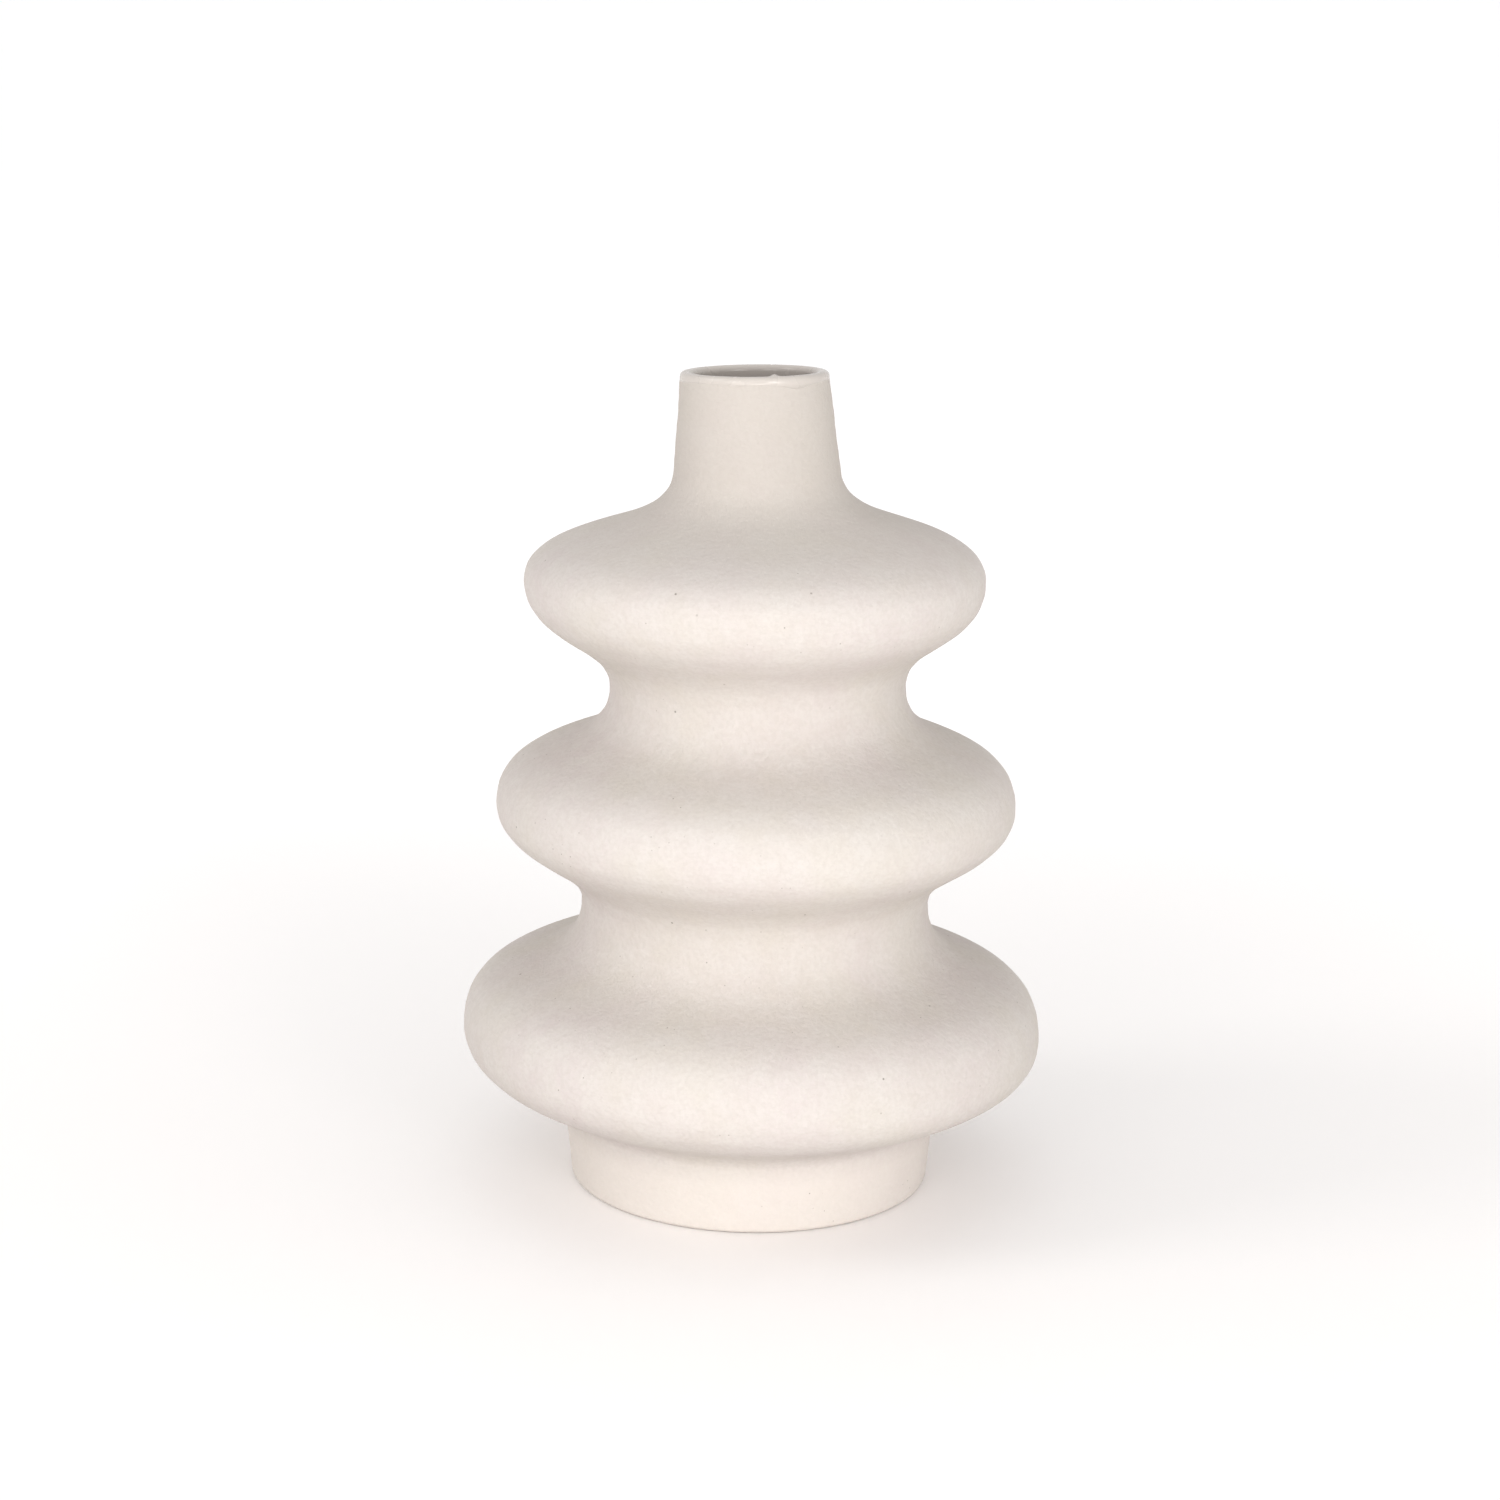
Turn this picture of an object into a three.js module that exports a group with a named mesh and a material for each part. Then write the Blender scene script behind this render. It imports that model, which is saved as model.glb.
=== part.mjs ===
// Ceramic bud vase: three hollow rings stacked on a foot, with a short neck.
// The clay sections are thrown one by one and luted together with slip, then glazed inside.
// Millimetres, +Z up, origin at the middle of the foot on the surface it stands on.
import * as THREE from 'three';

// Outline, from the foot up: radius of each turn and its rise above the turn below it
const footRadius = 44.3;
const footTopRadius = 45.8;
const footHeight = 16;
const lowerRingRadius = 71.3;
const lowerRingRise = 22;
const lowerWaistRadius = 42.5;
const lowerWaistRise = 32.6;
const middleRingRadius = 63.3;
const middleRingRise = 24.6;
const upperWaistRadius = 35.8;
const upperWaistRise = 29.1;
const upperRingRadius = 55.4;
const upperRingRise = 26.2;
const neckBaseRadius = 20.2;
const neckBaseRise = 26.1;
const neckLength = 23.1;
const lipRadius = 18;

// Clay, slip and glaze
const wallThickness = 3.6;
const lipEdgeRadius = 1.4;
const footEdgeRadius = 1.2;
const footRimWidth = 5.5;
const footRecess = 2.5;
const baseThickness = 5;
const slipThickness = 0.6;
const glazeThickness = 0.3;
const glazeOverLip = 2;

// Fineness of the mesh
const sides = 40;
const stepsPerCurve = 7;
const stepsPerEdge = 3;

const neckBaseHeight = footHeight + lowerRingRise + lowerWaistRise + middleRingRise
  + upperWaistRise + upperRingRise + neckBaseRise;
const lipHeight = neckBaseHeight + neckLength;
const footTaper = new THREE.Vector2(footTopRadius - footRadius, footHeight).normalize();
const neckTaper = new THREE.Vector2(lipRadius - neckBaseRadius, neckLength).normalize();
const upright = new THREE.Vector2(0, 1);

// The turns of the outline. Below and above say how far the wall keeps its direction there.
const turns = [
  { radius: footTopRadius, rise: footHeight, along: footTaper, below: 0, above: 8 },
  { radius: lowerRingRadius, rise: lowerRingRise, along: upright, below: 13.5, above: 22.4 },
  { radius: lowerWaistRadius, rise: lowerWaistRise, along: upright, below: 21.8, above: 11.1 },
  { radius: middleRingRadius, rise: middleRingRise, along: upright, below: 11.7, above: 18.3 },
  { radius: upperWaistRadius, rise: upperWaistRise, along: upright, below: 17.9, above: 12.3 },
  { radius: upperRingRadius, rise: upperRingRise, along: upright, below: 14.3, above: 14.4 },
  { radius: neckBaseRadius, rise: neckBaseRise, along: neckTaper, below: 15, above: 0 },
];

const materials = {
  clay: { color: 0xe6ddd2, roughness: 0.85, metalness: 0 },
  slip: { color: 0xdcd1c4, roughness: 0.9, metalness: 0 },
  glaze: { color: 0xdcd5cc, roughness: 0.2, metalness: 0 },
};

// A point on the outline with the direction that faces away from the clay
function outlinePoint(place, direction) {
  return { place, facing: new THREE.Vector2(direction.y, -direction.x).normalize() };
}

// The whole outside of the wall from the foot to the lip
function outerOutline() {
  const points = [outlinePoint(new THREE.Vector2(footRadius, 0), footTaper)];
  let height = 0;
  let previous = null;
  for (const turn of turns) {
    height += turn.rise;
    const end = new THREE.Vector2(turn.radius, height);
    if (previous) {
      const leave = previous.end.clone().addScaledVector(previous.along, previous.above);
      const arrive = end.clone().addScaledVector(turn.along, -turn.below);
      const curve = new THREE.CubicBezierCurve(previous.end, leave, arrive, end);
      for (let step = 1; step <= stepsPerCurve; step += 1) {
        // Steps are shorter towards both ends, where the wall turns most
        const share = (1 - Math.cos((Math.PI * step) / stepsPerCurve)) / 2;
        points.push(outlinePoint(curve.getPoint(share), curve.getTangent(share)));
      }
    } else {
      points.push(outlinePoint(end, turn.along));
    }
    previous = { end, along: turn.along, above: turn.above };
  }
  points.push(outlinePoint(new THREE.Vector2(lipRadius, lipHeight), neckTaper));
  return points;
}

// The outline moved along its facing direction: inwards when the distance is negative
function moved(outline, distance) {
  return outline.map((point) => point.place.clone().addScaledVector(point.facing, distance));
}

// The point where an outline crosses a height
function crossing(outline, height) {
  const next = outline.findIndex((point) => point.y > height);
  const above = outline[next];
  const below = outline[next - 1];
  const share = (height - below.y) / (above.y - below.y);
  return new THREE.Vector2(THREE.MathUtils.lerp(below.x, above.x, share), height);
}

// The stretch of an outline between two heights, with its own end points
function stretch(outline, low, high) {
  const inside = outline.filter((point) => point.y > low && point.y < high);
  return [crossing(outline, low), ...inside, crossing(outline, high)];
}

// A quarter round about a centre, from one angle to the next
function quarterRound(centre, radius, startAngle) {
  const points = [];
  for (let step = 0; step <= stepsPerEdge; step += 1) {
    const angle = startAngle + (Math.PI / 2) * (step / stepsPerEdge);
    const offset = new THREE.Vector2(Math.cos(angle), Math.sin(angle)).multiplyScalar(radius);
    points.push(offset.add(centre));
  }
  return points;
}

// Turns a section about the upright axis, closing it first where it stays off the axis
function turned(name, material, section) {
  const closed = section[0].x > 0 ? [...section, section[0].clone()] : section;
  const geometry = new THREE.LatheGeometry(closed, sides);
  geometry.rotateX(Math.PI / 2);
  const mesh = new THREE.Mesh(geometry, new THREE.MeshStandardMaterial(material));
  mesh.name = name;
  return mesh;
}

const outline = outerOutline();
const outside = moved(outline, 0);
const inside = moved(outline, -wallThickness);
const glazeFace = moved(outline, -wallThickness - glazeThickness);
const baseTop = footRecess + baseThickness;
const recessRadius = footRadius - footRimWidth;

// A thrown section of the wall between two heights
function wallSection(name, low, high) {
  const outer = stretch(outside, low, high);
  const inner = stretch(inside, low, high).reverse();
  return turned(name, materials.clay, [...outer, ...inner]);
}

// The slip that lutes two sections together at a height
function slipSeam(name, height) {
  const low = height - slipThickness / 2;
  const high = height + slipThickness / 2;
  const outer = [crossing(outside, low), crossing(outside, high)];
  const inner = [crossing(inside, high), crossing(inside, low)];
  return turned(name, materials.slip, [...outer, ...inner]);
}

// The foot wall with its flat rim, which the vase stands on
function footSection() {
  const edge = crossing(outside, footEdgeRadius);
  const edgeCentre = new THREE.Vector2(edge.x - footEdgeRadius, footEdgeRadius);
  const top = footHeight - slipThickness / 2;
  return turned('foot_ring', materials.clay, [
    new THREE.Vector2(recessRadius, 0),
    ...quarterRound(edgeCentre, footEdgeRadius, -Math.PI / 2),
    ...stretch(outside, footEdgeRadius, top).slice(1),
    ...stretch(inside, baseTop, top).reverse(),
    new THREE.Vector2(recessRadius, baseTop),
  ]);
}

// A flat ring or disc of the base between two radii
function baseSlab(name, material, innerRadius, outerRadius) {
  return turned(name, material, [
    new THREE.Vector2(innerRadius, footRecess),
    new THREE.Vector2(outerRadius, footRecess),
    new THREE.Vector2(outerRadius, baseTop),
    new THREE.Vector2(innerRadius, baseTop),
  ]);
}

// The rounded top of the neck, from its outer face over to its inner one
const lipEdgeHeight = lipHeight - lipEdgeRadius;
const lipOuterCentre = crossing(outside, lipEdgeHeight);
lipOuterCentre.x -= lipEdgeRadius;
const lipInnerCentre = crossing(inside, lipEdgeHeight);
lipInnerCentre.x += lipEdgeRadius;

function lipRound(radius) {
  return [
    ...quarterRound(lipOuterCentre, radius, 0),
    ...quarterRound(lipInnerCentre, radius, Math.PI / 2),
  ];
}

function neckSection() {
  const low = neckBaseHeight + slipThickness / 2;
  return turned('neck', materials.clay, [
    ...stretch(outside, low, lipEdgeHeight).slice(0, -1),
    ...lipRound(lipEdgeRadius),
    ...stretch(inside, low, lipEdgeHeight).reverse().slice(1),
  ]);
}

// The glaze that seals the inside, carried over the lip and a little way down its outer face
function innerGlaze() {
  const bandLow = crossing(outside, lipHeight - glazeOverLip);
  const glazeTop = baseTop + glazeThickness;
  return turned('inner_glaze', materials.glaze, [
    new THREE.Vector2(0, baseTop),
    ...stretch(inside, baseTop, lipEdgeHeight).slice(0, -1),
    ...lipRound(lipEdgeRadius).reverse(),
    bandLow,
    new THREE.Vector2(bandLow.x + glazeThickness, bandLow.y),
    ...lipRound(lipEdgeRadius + glazeThickness),
    ...stretch(glazeFace, glazeTop, lipEdgeHeight).reverse().slice(1),
    new THREE.Vector2(0, glazeTop),
  ]);
}

const lowerWaistHeight = footHeight + lowerRingRise + lowerWaistRise;
const upperWaistHeight = lowerWaistHeight + middleRingRise + upperWaistRise;
const halfSlip = slipThickness / 2;

const vase = new THREE.Group();
vase.add(
  baseSlab('base_disc', materials.clay, 0, recessRadius - slipThickness),
  baseSlab('slip_seam_base', materials.slip, recessRadius - slipThickness, recessRadius),
  footSection(),
  slipSeam('slip_seam_foot', footHeight),
  wallSection('lower_ring', footHeight + halfSlip, lowerWaistHeight - halfSlip),
  slipSeam('slip_seam_lower_waist', lowerWaistHeight),
  wallSection('middle_ring', lowerWaistHeight + halfSlip, upperWaistHeight - halfSlip),
  slipSeam('slip_seam_upper_waist', upperWaistHeight),
  wallSection('upper_ring', upperWaistHeight + halfSlip, neckBaseHeight - halfSlip),
  slipSeam('slip_seam_neck', neckBaseHeight),
  neckSection(),
  innerGlaze(),
);

export default vase;
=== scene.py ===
# Ceramic bud vase: three hollow rings stacked on a foot, matte outside, glossy glaze inside.
import math
import bmesh
import bpy
from mathutils import Euler, Matrix, Vector, noise
from mathutils.geometry import interpolate_bezier


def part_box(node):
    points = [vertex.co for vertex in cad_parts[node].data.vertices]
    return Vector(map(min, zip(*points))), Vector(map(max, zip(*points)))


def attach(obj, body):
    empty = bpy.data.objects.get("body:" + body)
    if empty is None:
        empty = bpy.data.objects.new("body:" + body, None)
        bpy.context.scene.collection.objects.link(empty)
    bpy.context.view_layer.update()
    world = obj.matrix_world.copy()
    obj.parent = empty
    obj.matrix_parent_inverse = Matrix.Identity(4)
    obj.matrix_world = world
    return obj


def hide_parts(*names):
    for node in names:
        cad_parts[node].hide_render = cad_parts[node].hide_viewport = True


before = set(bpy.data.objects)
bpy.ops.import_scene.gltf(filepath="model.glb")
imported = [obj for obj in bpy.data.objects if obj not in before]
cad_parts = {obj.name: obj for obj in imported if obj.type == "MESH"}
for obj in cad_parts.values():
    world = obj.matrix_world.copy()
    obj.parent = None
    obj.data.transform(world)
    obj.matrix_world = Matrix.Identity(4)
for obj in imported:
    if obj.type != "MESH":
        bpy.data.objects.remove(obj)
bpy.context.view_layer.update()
scene = bpy.context.scene


# Camera
cameraSetup = {
    "distance": 0.7629,  # from the vase's axis, level with the ground
    "height": 0.2932,
    "downDegrees": 13.65,
    "leftDegrees": 0.13,
    "rollDegrees": 1.15,
    "lens": 77.3,
}


def addCamera(setup):
    data = bpy.data.cameras.new("camera")
    data.lens = setup["lens"]
    data.clip_end = 200
    camera = bpy.data.objects.new("camera", data)
    scene.collection.objects.link(camera)
    tilt = Euler((math.radians(90 - setup["downDegrees"]), 0, math.radians(setup["leftDegrees"])))
    roll = Matrix.Rotation(math.radians(setup["rollDegrees"]), 4, "Z")
    place = Matrix.Translation((0, -setup["distance"], setup["height"]))
    camera.matrix_world = place @ tilt.to_matrix().to_4x4() @ roll
    scene.camera = camera


addCamera(cameraSetup)
print("camera set")


# Shader helpers
class Wire:
    def __init__(self, finish, socket):
        self.finish = finish
        self.socket = socket

    def maths(self, operation, first, second):
        return self.finish.node("ShaderNodeMath", {"operation": operation}, {0: first, 1: second})

    def __add__(self, other):
        return self.maths("ADD", self, other)

    def __radd__(self, other):
        return self.maths("ADD", other, self)

    def __sub__(self, other):
        return self.maths("SUBTRACT", self, other)

    def __rsub__(self, other):
        return self.maths("SUBTRACT", other, self)

    def __mul__(self, other):
        return self.maths("MULTIPLY", self, other)

    def __rmul__(self, other):
        return self.maths("MULTIPLY", other, self)


class Finish:
    def __init__(self, name):
        self.material = bpy.data.materials.new(name)
        self.material.use_nodes = True
        self.tree = self.material.node_tree
        self.tree.nodes.clear()

    def node(self, kind, settings, inputs, output=0):
        made = self.tree.nodes.new(kind)
        for key, value in settings.items():
            setattr(made, key, value)
        for key, value in inputs.items():
            if isinstance(value, Wire):
                self.tree.links.new(value.socket, made.inputs[key])
            else:
                made.inputs[key].default_value = value
        return Wire(self, made.outputs[output])

    def place(self):
        return self.node("ShaderNodeTexCoord", {}, {}, "Object")

    def noise(self, place, size, detail=2.0, roughness=0.5):
        inputs = {"Vector": place, "Scale": 1 / size, "Detail": detail, "Roughness": roughness}
        return self.node("ShaderNodeTexNoise", {}, inputs)

    def between(self, value, low, high, toLow=0.0, toHigh=1.0):
        inputs = {"Value": value, "From Min": low, "From Max": high, "To Min": toLow, "To Max": toHigh}
        return self.node("ShaderNodeMapRange", {"interpolation_type": "SMOOTHSTEP"}, inputs)

    def blend(self, factor, first, second):
        settings = {"data_type": "RGBA", "blend_type": "MIX"}
        return self.node("ShaderNodeMix", settings, {0: factor, 6: first, 7: second}, 2)

    def bump(self, height, strength, distance, normal=None):
        inputs = {"Height": height, "Strength": strength, "Distance": distance}
        if normal:
            inputs["Normal"] = normal
        return self.node("ShaderNodeBump", {}, inputs)

    def shade(self, inputs):
        surface = self.node("ShaderNodeBsdfPrincipled", {}, inputs)
        output = self.tree.nodes.new("ShaderNodeOutputMaterial")
        self.tree.links.new(surface.socket, output.inputs["Surface"])
        return self.material


# The outline: where the wall turns, and how far it keeps its direction below and above each turn
wall = {
    "turns": [
        {"node": "slip_seam_foot", "share": 0.5, "flare": 0.094, "below": 0.0, "above": 0.008},
        {"node": "lower_ring", "share": 0.402, "flare": 0.0, "below": 0.0135, "above": 0.0224},
        {"node": "slip_seam_lower_waist", "share": 0.5, "flare": 0.0, "below": 0.0218, "above": 0.0111},
        {"node": "middle_ring", "share": 0.458, "flare": 0.0, "below": 0.0117, "above": 0.0183},
        {"node": "slip_seam_upper_waist", "share": 0.5, "flare": 0.0, "below": 0.0179, "above": 0.0123},
        {"node": "upper_ring", "share": 0.501, "flare": 0.0, "below": 0.0143, "above": 0.0144},
        {"node": "slip_seam_neck", "share": 0.5, "flare": -0.095, "below": 0.015, "above": 0.0},
    ],
    "footRadius": 0.0443,
    "lipRadius": 0.018,
    "thickness": 0.0036,
    "lipThickness": 0.0027,
    "footRecess": 0.0025,
    "footRim": 0.0055,
    "footEdge": 0.0012,
    "lipEdge": 0.0012,
    "cornerInside": 0.003,
    "curveSteps": 34,
    "insideSteps": 14,
    "lineStep": 0.0016,
    "radialSteps": 220,
}

# How the thrown rings sit, from the foot up: sideways lean, how steeply the right side drops and
# the front rises, how far the whole lies above its true height, and how much wider it is
asMade = {
    "leans": [
        {"height": 0.0, "lean": 0.0, "drop": 0.0, "rise": 0.0, "up": 0.0, "wider": 0.0},
        {"height": 0.016, "lean": -0.0002, "drop": 0.0, "rise": 0.0, "up": 0.0, "wider": 0.0},
        {"height": 0.038, "lean": 0.0001, "drop": 0.014, "rise": 0.0, "up": 0.0, "wider": 0.0},
        {"height": 0.0706, "lean": 0.0002, "drop": -0.0065, "rise": 0.0, "up": 0.0, "wider": 0.0},
        {"height": 0.0952, "lean": -0.0001, "drop": -0.0025, "rise": 0.0, "up": 0.0, "wider": 0.0},
        {"height": 0.1243, "lean": -0.0001, "drop": -0.021, "rise": 0.0, "up": 0.0, "wider": 0.0},
        {"height": 0.1505, "lean": -0.0013, "drop": -0.01, "rise": 0.0, "up": 0.0, "wider": 0.0},
        {"height": 0.175, "lean": -0.0014, "drop": -0.03, "rise": 0.0, "up": -0.0003, "wider": -0.0003},
        {"height": 0.188, "lean": -0.0019, "drop": -0.017, "rise": 0.012, "up": 0.0001, "wider": -0.0004},
        {"height": 0.2, "lean": -0.0025, "drop": -0.026, "rise": 0.03, "up": 0.00065, "wider": -0.0004},
    ],
    "outOfRound": 0.00025,
    "outOfRoundSize": 0.06,
    "throwing": 0.00004,
    "throwingPitch": 0.0042,
    "still": 0.004,  # below this height the foot stays flat on its surface
}


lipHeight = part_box("neck")[1][2]
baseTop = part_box("base_disc")[1][2]
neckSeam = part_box("slip_seam_neck")[1]
neckSlope = (neckSeam[0] - wall["lipRadius"]) / (lipHeight - neckSeam[2])  # wider for each metre down


def turnPoint(turn):
    low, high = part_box(turn["node"])
    height = low[2] + (high[2] - low[2]) * turn["share"]
    return Vector((high[0], 0, height))


def wallCurves(inset=0.0):
    # The wall from the foot seam to the neck seam, moved inwards by the inset
    path = []
    turns = wall["turns"]
    steps = wall["insideSteps"] if inset else wall["curveSteps"]
    for lower, upper in zip(turns, turns[1:]):
        start, end = turnPoint(lower), turnPoint(upper)
        leave = start + Vector((lower["flare"], 0, 1)).normalized() * lower["above"]
        arrive = end - Vector((upper["flare"], 0, 1)).normalized() * upper["below"]
        curve = interpolate_bezier(start, leave, arrive, end, steps + 1)
        path += curve if not path else curve[1:]
    if not inset:
        return path
    moved = []
    for index, point in enumerate(path):
        along = path[min(index + 1, len(path) - 1)] - path[max(index - 1, 0)]
        moved.append(point - Vector((along.z, 0, -along.x)).normalized() * inset)
    return moved


def straight(start, end):
    # Points from the start up to, but without, the end
    steps = max(1, round((end - start).length / wall["lineStep"]))
    return [start.lerp(end, step / steps) for step in range(steps)]


def rounded(corners, radii, steps=6):
    # A line through the corners, each one rounded with its radius
    path = [corners[0]]
    for before, corner, after, radius in zip(corners, corners[1:], corners[2:], radii):
        start = corner + (before - corner).normalized() * radius
        end = corner + (after - corner).normalized() * radius
        reach = 0.55
        arc = interpolate_bezier(start, start.lerp(corner, reach), end.lerp(corner, reach), end, steps)
        path += straight(path[-1], start)[1:] + arc
    return path + straight(path[-1], corners[-1])[1:] + [corners[-1]]


def settle(place):
    # Moves a point of the perfect shape to where the hand-made one has it
    leans = asMade["leans"]
    upper = 1
    while upper < len(leans) - 1 and leans[upper]["height"] < place.z:
        upper += 1
    below, above = leans[upper - 1], leans[upper]
    share = (place.z - below["height"]) / (above["height"] - below["height"])
    share = min(max(share, 0), 1)
    share = share * share * (3 - 2 * share)
    lean, drop, rise, up, wider = (
        below[key] + (above[key] - below[key]) * share for key in ("lean", "drop", "rise", "up", "wider")
    )
    radius = math.hypot(place.x, place.y)
    if radius < 1e-6:
        return place + Vector((lean, 0, up))
    lift = min(max(place.z / asMade["still"], 0), 1)
    around = Vector((place.x, place.y, 0)) / radius
    swell = noise.noise(place / asMade["outOfRoundSize"]) * asMade["outOfRound"]
    turn = math.atan2(place.y, place.x) / (2 * math.pi)
    swell += math.sin(2 * math.pi * (place.z / asMade["throwingPitch"] + turn)) * asMade["throwing"]
    swell = (swell + wider) * lift
    return place + around * swell + Vector((lean, 0, up - drop * place.x - rise * place.y))


def spun(name, path, shape=None):
    # Turns a path about the upright axis, closes its poles, shapes it and settles it
    made = bmesh.new()
    points = [made.verts.new(point) for point in path]
    edges = [made.edges.new(pair) for pair in zip(points, points[1:])]
    full = {"angle": 2 * math.pi, "steps": wall["radialSteps"], "use_merge": True}
    bmesh.ops.spin(made, geom=points + edges, cent=(0, 0, 0), axis=(0, 0, 1), **full)
    bmesh.ops.remove_doubles(made, verts=made.verts, dist=1e-6)
    bmesh.ops.recalc_face_normals(made, faces=made.faces)
    for vertex in made.verts:
        vertex.co = settle(shape(vertex.co) if shape else vertex.co)
    for face in made.faces:
        face.smooth = True
    mesh = bpy.data.meshes.new(name)
    made.to_mesh(mesh)
    made.free()
    piece = bpy.data.objects.new(name, mesh)
    scene.collection.objects.link(piece)
    print(name, "made with", len(mesh.polygons), "faces")
    return piece


# Clay body
clay = {
    "cream": (0.655, 0.618, 0.58, 1),
    "blush": (0.65, 0.602, 0.584, 1),
    "pale": (0.674, 0.642, 0.612, 1),
    # darker tone for the grain, also used for the painted shade on the neck
    "shade": (0.58, 0.543, 0.505, 1),
    "paintedFootLight": (0.78, 0.735, 0.695, 1),
    "speck": (0.3, 0.27, 0.24, 1),
    "foot": (0.011, 0.02, 0.6),  # painted light: the foot is made paler in colour for the light falling on it; where that fades out, and how far it goes
    "neck": (0.155, 0.172, 0.65),  # and the neck a little darker as painted shade, without specks
    "patchSize": 0.028,
    "washSize": 0.007,
    "washShare": 0.7,
    "grainSize": 0.0011,
    "grainShare": 0.22,
    "dustSize": 0.0005,
    "dustShare": 0.1,
    "pitSize": 0.0022,
    "specks": [
        {"spacing": 0.0062, "radius": 0.00036, "shown": (0.55, 0.95), "dark": 0.75, "cluster": (0.0, 0.01)},
        {"spacing": 0.0021, "radius": 0.00024, "shown": (0.2, 0.7), "dark": 0.6, "cluster": (0.54, 0.62)},
    ],
    "clusterSize": 0.017,
    "roughness": (0.74, 0.9),
    "specular": 0.3,
    "pitBump": (0.3, 0.0003),
    "grainBump": (0.6, 0.0002),
}


def clayPath():
    recess, rim = wall["footRecess"], wall["footRadius"] - wall["footRim"]
    curves = wallCurves()
    foot = rounded(
        [Vector((0, 0, recess)), Vector((rim, 0, recess)), Vector((rim, 0, 0)),
         Vector((wall["footRadius"], 0, 0)), curves[0]],
        [wall["footEdge"] / 2, wall["footEdge"] / 2, wall["footEdge"]],
    )
    inside = wallCurves(wall["thickness"])
    neck = rounded(
        [curves[-1], Vector((wall["lipRadius"], 0, lipHeight)),
         Vector((wall["lipRadius"] - wall["lipThickness"], 0, lipHeight)), inside[-1]],
        [wall["lipEdge"], wall["lipEdge"]],
    )
    base = rounded(
        [inside[0], Vector((inside[0].x, 0, baseTop)), Vector((0, 0, baseTop))],
        [wall["cornerInside"]],
    )
    return foot + curves[1:-1] + neck + inside[-2:0:-1] + base


def clayFinish():
    finish = Finish("clay")
    place = finish.place()
    patch = finish.between(finish.noise(place, clay["patchSize"], 3), 0.35, 0.65)
    wash = finish.between(finish.noise(place, clay["washSize"], 4, 0.6), 0.3, 0.7)
    grain = finish.noise(place, clay["grainSize"], 3, 0.6)
    dust = finish.noise(place, clay["dustSize"], 2, 0.5)
    pits = finish.noise(place, clay["pitSize"], 2, 0.5)
    cluster = finish.noise(place, clay["clusterSize"], 2)
    colour = finish.blend(patch, clay["cream"], clay["blush"])
    colour = finish.blend(wash * clay["washShare"], colour, clay["pale"])
    height = finish.node("ShaderNodeSeparateXYZ", {}, {0: place}, 2)
    shaded = finish.between(grain, 0.38, 0.66) * clay["grainShare"]
    shaded = shaded + finish.between(dust, 0.5, 0.75) * clay["dustShare"]
    colour = finish.blend(shaded, colour, clay["shade"])
    # Painted light: the foot is mixed towards the paler colour, fading out upwards
    low, high, share = clay["foot"]
    colour = finish.blend(finish.between(height, low, high, share, 0.0), colour, clay["paintedFootLight"])
    # Painted shade: the neck is mixed towards the darker tone; the same mask keeps specks off it
    low, high, share = clay["neck"]
    neck = finish.between(height, low, high)
    colour = finish.blend(neck * share, colour, clay["shade"])
    for kind in clay["specks"]:
        inputs = {"Vector": place, "Scale": 1 / kind["spacing"], "Randomness": 1.0}
        distance = finish.node("ShaderNodeTexVoronoi", {"feature": "F1"}, inputs, "Distance")
        chance = finish.node("ShaderNodeTexVoronoi", {"feature": "F1"}, inputs, "Color")
        chance = finish.node("ShaderNodeSeparateColor", {}, {0: chance}, 0)
        reach = kind["radius"] / kind["spacing"]
        speck = finish.between(distance, reach * 0.4, reach, kind["dark"], 0.0)
        speck = speck * finish.between(chance, *kind["shown"]) * finish.between(cluster, *kind["cluster"])
        colour = finish.blend(speck * (1 - neck), colour, clay["speck"])
    normal = finish.bump(pits, *clay["pitBump"])
    normal = finish.bump(grain, *clay["grainBump"], normal)
    return finish.shade({
        "Base Color": colour,
        "Roughness": finish.between(grain, 0.3, 0.7, *clay["roughness"]),
        "Specular IOR Level": clay["specular"],
        "Normal": normal,
    })


clayBody = spun("clay_body", clayPath())
clayBody.data.materials.append(clayFinish())
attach(clayBody, "root")
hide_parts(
    "base_disc", "slip_seam_base", "foot_ring", "slip_seam_foot", "lower_ring",
    "slip_seam_lower_waist", "middle_ring", "slip_seam_upper_waist", "upper_ring",
    "slip_seam_neck", "neck",
)


# Glaze inside and over the lip
glaze = {
    "inside": (0.6, 0.56, 0.53, 1),
    "overEdge": (0.618, 0.58, 0.546, 1),
    "thickness": 0.0003,
    "lipThickness": 0.00012,
    "overLip": 0.0024,
    "edge": -0.00004,  # the glaze runs out into the clay here
    "wave": 0.0005,  # how far its lower edge wanders up and down
    "run": {"degrees": 32, "spread": 16, "length": 0.0006},
    "bead": {"degrees": 17.5, "radius": 0.0156, "size": 0.0009, "height": 0.00075},
    "roughness": (0.19, 0.29),
    "cloudSize": 0.008,
    "rippleSize": 0.0035,
    "rippleBump": (0.3, 0.0003),
    "paleFrom": {"inwards": (0.0033, 0.0015), "down": (0.006, 0.001)},  # the inside colour turns paler here
}


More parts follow.
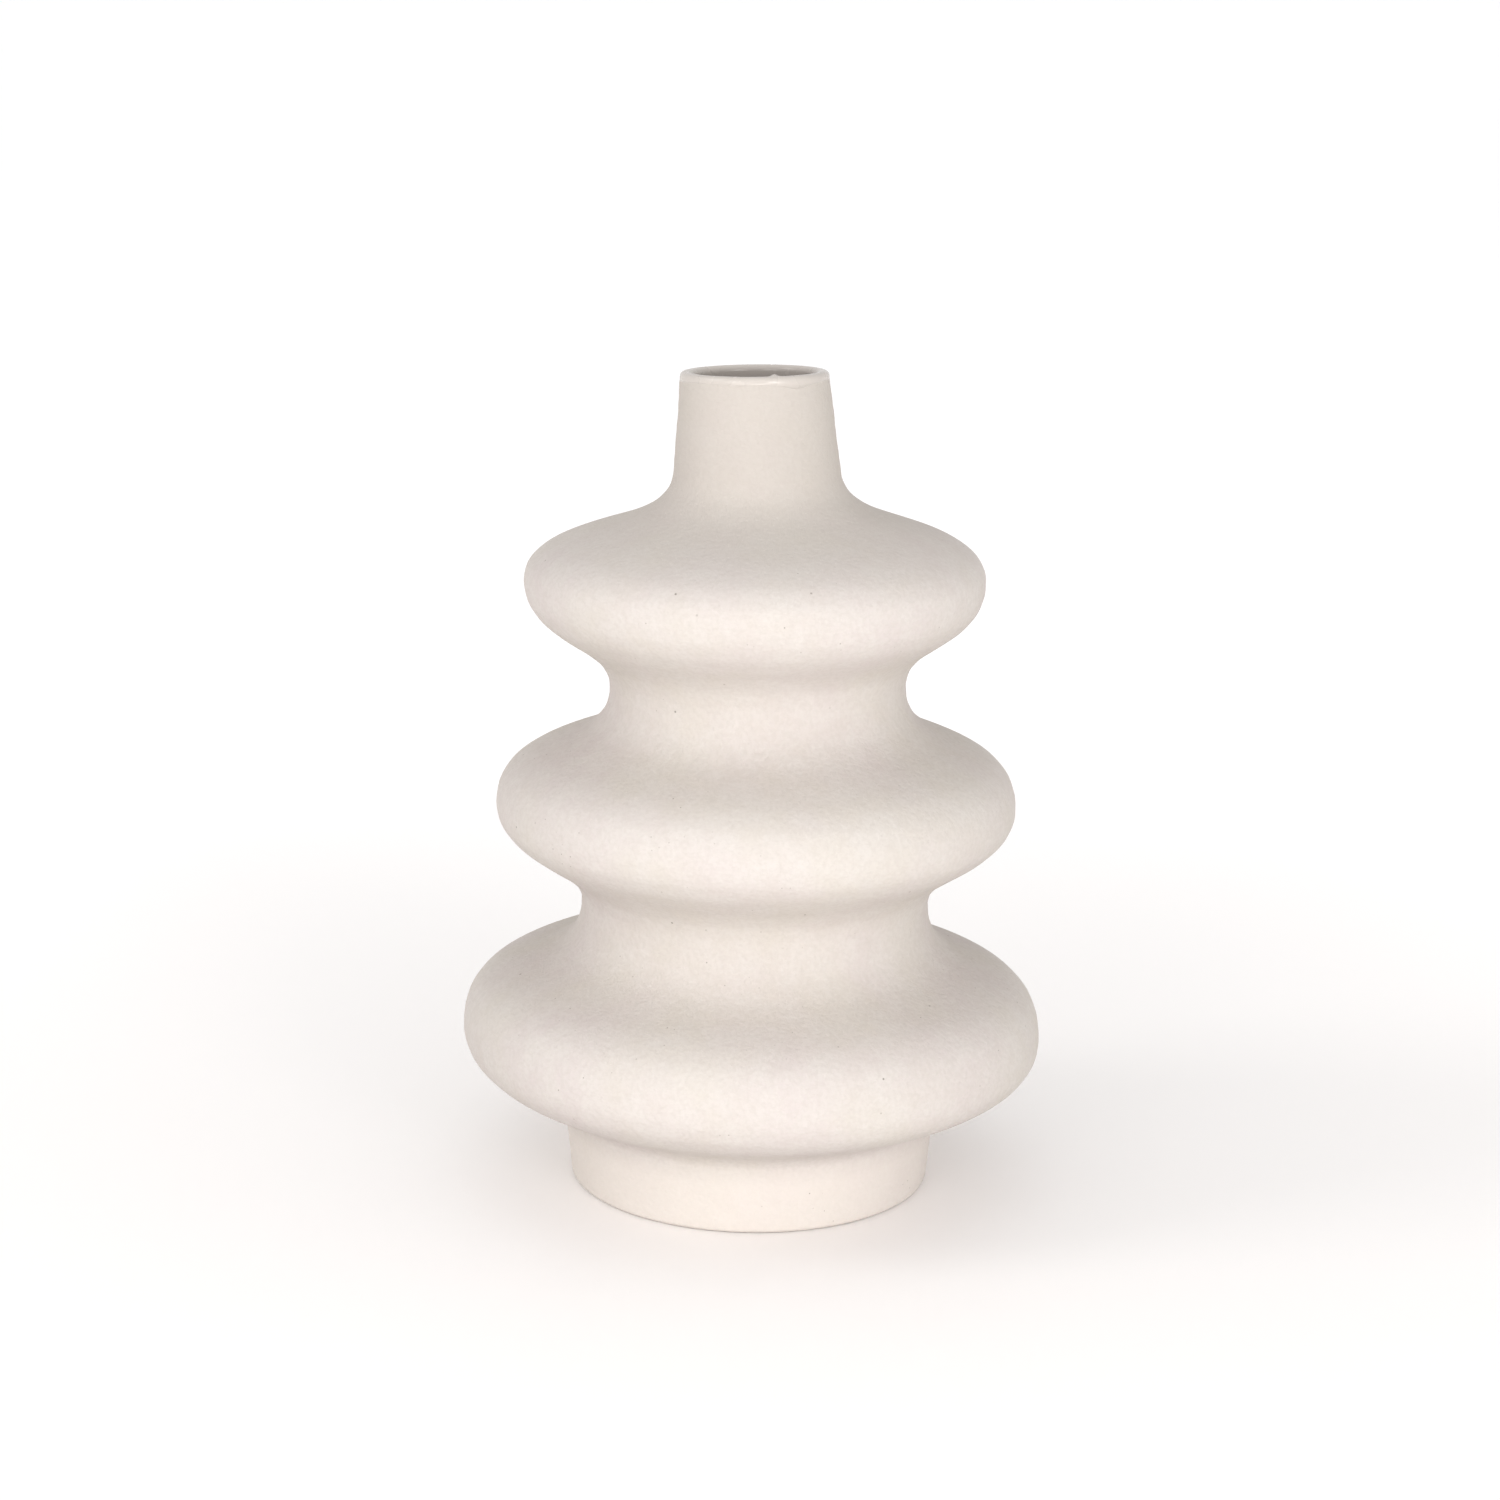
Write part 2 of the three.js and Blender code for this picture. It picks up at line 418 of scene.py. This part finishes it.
def glazePath():
    outer, inner = wall["lipRadius"], wall["lipRadius"] - wall["lipThickness"]
    skin, lipSkin = glaze["thickness"], glaze["lipThickness"]
    insideClay = wallCurves(wall["thickness"])
    insideAir = wallCurves(wall["thickness"] + skin)
    band = lipHeight - glaze["overLip"]
    bandRadius = outer + neckSlope * glaze["overLip"]
    clayBase = rounded(
        [Vector((0, 0, baseTop)), Vector((insideClay[0].x, 0, baseTop)), insideClay[0]],
        [wall["cornerInside"]],
    )
    clayLip = rounded(
        [insideClay[-1], Vector((inner, 0, lipHeight)), Vector((outer, 0, lipHeight)),
         Vector((bandRadius - glaze["thickness"], 0, band))],
        [wall["lipEdge"], wall["lipEdge"]],
    )
    top = lipHeight + lipSkin
    airLip = rounded(
        [Vector((bandRadius + glaze["edge"], 0, band)), Vector((outer + lipSkin, 0, top)),
         Vector((inner - skin, 0, top)), insideAir[-1]],
        [wall["lipEdge"], wall["lipEdge"] + skin],
    )
    airBase = rounded(
        [insideAir[0], Vector((insideAir[0].x, 0, baseTop + skin)), Vector((0, 0, baseTop + skin))],
        [wall["cornerInside"]],
    )
    return clayBase + insideClay[1:-1] + clayLip + airLip + insideAir[-2:0:-1] + airBase


def poured(place):
    # A wandering lower edge outside, a short run, and one bead of glaze on the inner edge of the lip
    angle = math.atan2(place.x, -place.y)
    radius = math.hypot(place.x, place.y)
    below = (lipHeight - place.z) / glaze["overLip"]
    if radius > wall["lipRadius"] - 0.0002 and 0 < below < 1.1:
        around = Vector((math.sin(angle), -math.cos(angle), 0))
        wander = noise.noise(around * 2.3 + Vector((4, 0, 1))) * glaze["wave"]
        run = (math.degrees(angle) - glaze["run"]["degrees"]) / glaze["run"]["spread"]
        wander -= math.exp(-run * run) * glaze["run"]["length"]
        wander *= below * below
        place = place + Vector((0, 0, wander)) - around * wander * neckSlope
    bead = math.radians(glaze["bead"]["degrees"])
    middle = Vector((math.sin(bead), -math.cos(bead), 0)) * glaze["bead"]["radius"]
    away = Vector((place.x - middle.x, place.y - middle.y, 0)).length / glaze["bead"]["size"]
    if away < 3 and place.z > lipHeight + glaze["lipThickness"] / 3 - wall["lipEdge"] / 2:
        place = place + Vector((0, 0, math.exp(-away * away) * glaze["bead"]["height"]))
    return place


def glazeFinish():
    finish = Finish("glaze")
    place = finish.place()
    cloud = finish.between(finish.noise(place, glaze["cloudSize"], 3), 0.35, 0.65)
    ripple = finish.noise(place, glaze["rippleSize"], 2)
    flat = finish.node("ShaderNodeVectorMath", {"operation": "MULTIPLY"}, {0: place, 1: (1, 1, 0)})
    radius = finish.node("ShaderNodeVectorMath", {"operation": "LENGTH"}, {0: flat}, 1)
    height = finish.node("ShaderNodeSeparateXYZ", {}, {0: place}, 2)
    inwards, down = glaze["paleFrom"]["inwards"], glaze["paleFrom"]["down"]
    # The glaze is paler over the lip and keeps the darker colour further down inside
    towardsLip = finish.between(radius, wall["lipRadius"] - inwards[0], wall["lipRadius"] - inwards[1])
    towardsLip = towardsLip * finish.between(height, lipHeight - down[0], lipHeight - down[1])
    colour = finish.blend(towardsLip, glaze["inside"], glaze["overEdge"])
    return finish.shade({
        "Base Color": colour,
        "Roughness": finish.between(cloud, 0.0, 1.0, *glaze["roughness"]),
        "Normal": finish.bump(ripple, *glaze["rippleBump"]),
    })


innerGlaze = spun("inner_glaze_skin", glazePath(), poured)
innerGlaze.data.materials.append(glazeFinish())
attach(innerGlaze, "root")
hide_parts("inner_glaze")


# Floor and light
studio = {
    "floorRadius": 90,
    "floorColour": (0.86, 0.842, 0.835, 1),
    "floorRoughness": 0.6,
    "nearGlow": (0.1, 0.1, 0.1, 1),  # painted light: the floor glows a little, more so far away; the weaker glow near the vase leaves painted shade around it
    "farGlow": (0.19, 0.2, 0.205, 1),
    "glowReach": (0.12, 0.6),
    "dome": 0.93,
    "lamps": [
        {"name": "side_left", "turn": -75, "rise": 35, "distance": 2.5, "size": (1.0, 1.0), "watts": 7.0},
        {"name": "front_left", "turn": -30, "rise": 10, "distance": 2.5, "size": (1.0, 1.0), "watts": 6.2},
        {"name": "front_right", "turn": 30, "rise": 10, "distance": 2.5, "size": (1.0, 1.0), "watts": 13.3},
        {"name": "front_card", "turn": 0, "rise": -8, "distance": 0.45, "size": (0.4, 0.24), "watts": 0.55},
    ],
    "aim": (0, 0, 0.08),
    "contrast": 0.7,  # display gamma: lower deepens the shades and keeps white white
}


def addFloor():
    made = bmesh.new()
    bmesh.ops.create_circle(made, cap_ends=True, segments=64, radius=studio["floorRadius"])
    mesh = bpy.data.meshes.new("floor")
    made.to_mesh(mesh)
    made.free()
    floor = bpy.data.objects.new("floor", mesh)
    scene.collection.objects.link(floor)
    finish = Finish("floor")
    away = finish.node("ShaderNodeVectorMath", {"operation": "LENGTH"}, {0: finish.place()}, 1)
    # Painted light: the floor glows, less near the vase, which is painted shade around it
    farness = finish.between(away, *studio["glowReach"])
    floor.data.materials.append(finish.shade({
        "Base Color": studio["floorColour"],
        "Roughness": studio["floorRoughness"],
        "Emission Color": finish.blend(farness, studio["nearGlow"], studio["farGlow"]),
        "Emission Strength": 1.0,
    }))


def addLamp(setup):
    data = bpy.data.lights.new(setup["name"], "AREA")
    data.shape = "ELLIPSE"
    data.size, data.size_y = setup["size"]
    data.energy = setup["watts"]
    lamp = bpy.data.objects.new(setup["name"], data)
    scene.collection.objects.link(lamp)
    turn, rise = math.radians(setup["turn"]), math.radians(setup["rise"])
    away = Vector((math.cos(rise) * math.sin(turn), -math.cos(rise) * math.cos(turn), math.sin(rise)))
    lamp.location = Vector(studio["aim"]) + away * setup["distance"]
    lamp.rotation_euler = (-away).to_track_quat("-Z", "Y").to_euler()


def addDome():
    world = bpy.data.worlds.new("dome")
    world.use_nodes = True
    background = world.node_tree.nodes["Background"]
    background.inputs["Color"].default_value = (1, 1, 1, 1)
    background.inputs["Strength"].default_value = studio["dome"]
    scene.world = world


addFloor()
addDome()
for lamp in studio["lamps"]:
    addLamp(lamp)
scene.view_settings.view_transform = "Standard"
scene.view_settings.gamma = studio["contrast"]
print("studio lit")
